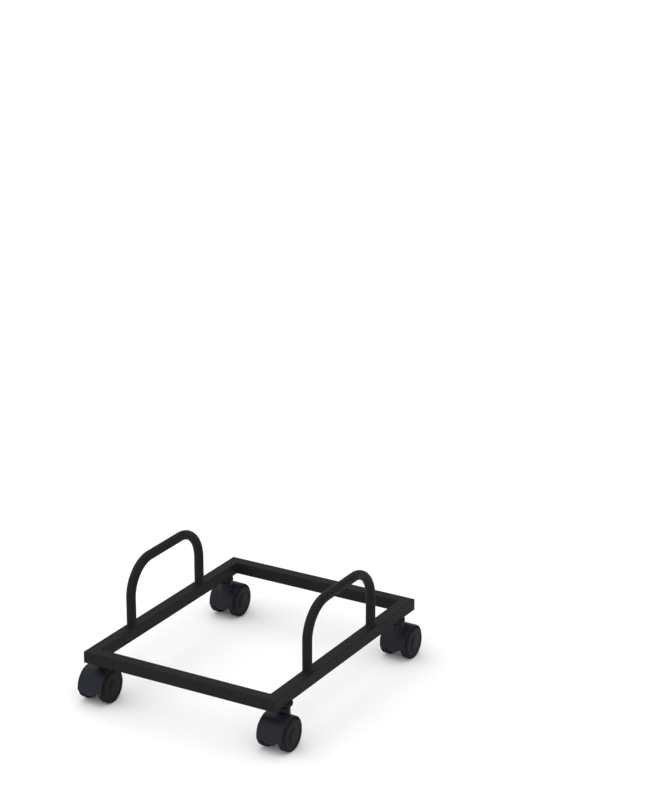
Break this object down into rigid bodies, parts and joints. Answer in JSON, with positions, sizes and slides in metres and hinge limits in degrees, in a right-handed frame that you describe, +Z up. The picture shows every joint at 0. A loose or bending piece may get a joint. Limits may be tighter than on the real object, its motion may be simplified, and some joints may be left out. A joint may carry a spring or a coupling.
{
  "type": "rolling computer tower stand",
  "caption": "Rolling floor stand for a desktop computer tower: mitred square-tube frame, bent-tube side hoops, hooded twin-wheel swivel casters under the corners.",
  "frame": {"origin": "on the floor, under the middle of the tube rectangle", "axes": "+X across the stand (short side), +Y along it from front to back, +Z up"},
  "size_m": [0.3076, 0.3552, 0.162],
  "materials": {
    "frame_paint": "black satin powder coat",
    "hood_nylon": "moulded black nylon, satin",
    "wheel_nylon": "moulded black nylon, slightly rougher tread",
    "hubcap_nylon": "moulded black nylon, satin",
    "bare_steel": "zinc-plated turned steel",
    "spring_steel": "oiled spring steel"
  },
  "bodies": {
    "frame": {"front_tube": "frame_paint", "rear_tube": "frame_paint", "left_side_tube": "frame_paint", "right_side_tube": "frame_paint", "corner_welds": "frame_paint", "left_hoop": "frame_paint", "right_hoop": "frame_paint", "hoop_welds": "frame_paint", "front_left_collar": "frame_paint", "front_left_stem": "bare_steel", "front_left_stem_clip": "spring_steel", "front_right_collar": "frame_paint", "front_right_stem": "bare_steel", "front_right_stem_clip": "spring_steel", "rear_left_collar": "frame_paint", "rear_left_stem": "bare_steel", "rear_left_stem_clip": "spring_steel", "rear_right_collar": "frame_paint", "rear_right_stem": "bare_steel", "rear_right_stem_clip": "spring_steel"},
    "front_left_swivel": {"front_left_hood": "hood_nylon", "front_left_axle": "bare_steel"},
    "front_left_left_wheel_body": {"front_left_left_wheel": "wheel_nylon", "front_left_left_hubcap": "hubcap_nylon"},
    "front_left_right_wheel_body": {"front_left_right_wheel": "wheel_nylon", "front_left_right_hubcap": "hubcap_nylon"},
    "front_right_swivel": {"front_right_hood": "hood_nylon", "front_right_axle": "bare_steel"},
    "front_right_left_wheel_body": {"front_right_left_wheel": "wheel_nylon", "front_right_left_hubcap": "hubcap_nylon"},
    "front_right_right_wheel_body": {"front_right_right_wheel": "wheel_nylon", "front_right_right_hubcap": "hubcap_nylon"},
    "rear_left_swivel": {"rear_left_hood": "hood_nylon", "rear_left_axle": "bare_steel"},
    "rear_left_left_wheel_body": {"rear_left_left_wheel": "wheel_nylon", "rear_left_left_hubcap": "hubcap_nylon"},
    "rear_left_right_wheel_body": {"rear_left_right_wheel": "wheel_nylon", "rear_left_right_hubcap": "hubcap_nylon"},
    "rear_right_swivel": {"rear_right_hood": "hood_nylon", "rear_right_axle": "bare_steel"},
    "rear_right_left_wheel_body": {"rear_right_left_wheel": "wheel_nylon", "rear_right_left_hubcap": "hubcap_nylon"},
    "rear_right_right_wheel_body": {"rear_right_right_wheel": "wheel_nylon", "rear_right_right_hubcap": "hubcap_nylon"}
  },
  "joints": [
    {"name": "front_left_swivel_turn", "type": "hinge", "parent": "frame", "child": "front_left_swivel", "pos_m": [-0.132, -0.141, 0.045], "axis": [0, 0, 1], "continuous": true},
    {"name": "front_left_left_wheel_spin", "type": "hinge", "parent": "front_left_swivel", "child": "front_left_left_wheel_body", "pos_m": [-0.132, -0.153, 0.021], "axis": [1, 0, 0], "continuous": true},
    {"name": "front_left_right_wheel_spin", "type": "hinge", "parent": "front_left_swivel", "child": "front_left_right_wheel_body", "pos_m": [-0.132, -0.153, 0.021], "axis": [1, 0, 0], "continuous": true},
    {"name": "front_right_swivel_turn", "type": "hinge", "parent": "frame", "child": "front_right_swivel", "pos_m": [0.132, -0.141, 0.045], "axis": [0, 0, 1], "continuous": true},
    {"name": "front_right_left_wheel_spin", "type": "hinge", "parent": "front_right_swivel", "child": "front_right_left_wheel_body", "pos_m": [0.132, -0.153, 0.021], "axis": [1, 0, 0], "continuous": true},
    {"name": "front_right_right_wheel_spin", "type": "hinge", "parent": "front_right_swivel", "child": "front_right_right_wheel_body", "pos_m": [0.132, -0.153, 0.021], "axis": [1, 0, 0], "continuous": true},
    {"name": "rear_left_swivel_turn", "type": "hinge", "parent": "frame", "child": "rear_left_swivel", "pos_m": [-0.132, 0.141, 0.045], "axis": [0, 0, 1], "continuous": true},
    {"name": "rear_left_left_wheel_spin", "type": "hinge", "parent": "rear_left_swivel", "child": "rear_left_left_wheel_body", "pos_m": [-0.132, 0.153, 0.021], "axis": [1, 0, 0], "continuous": true},
    {"name": "rear_left_right_wheel_spin", "type": "hinge", "parent": "rear_left_swivel", "child": "rear_left_right_wheel_body", "pos_m": [-0.132, 0.153, 0.021], "axis": [1, 0, 0], "continuous": true},
    {"name": "rear_right_swivel_turn", "type": "hinge", "parent": "frame", "child": "rear_right_swivel", "pos_m": [0.132, 0.141, 0.045], "axis": [0, 0, 1], "continuous": true},
    {"name": "rear_right_left_wheel_spin", "type": "hinge", "parent": "rear_right_swivel", "child": "rear_right_left_wheel_body", "pos_m": [0.132, 0.153, 0.021], "axis": [1, 0, 0], "continuous": true},
    {"name": "rear_right_right_wheel_spin", "type": "hinge", "parent": "rear_right_swivel", "child": "rear_right_right_wheel_body", "pos_m": [0.132, 0.153, 0.021], "axis": [1, 0, 0], "continuous": true}
  ]
}
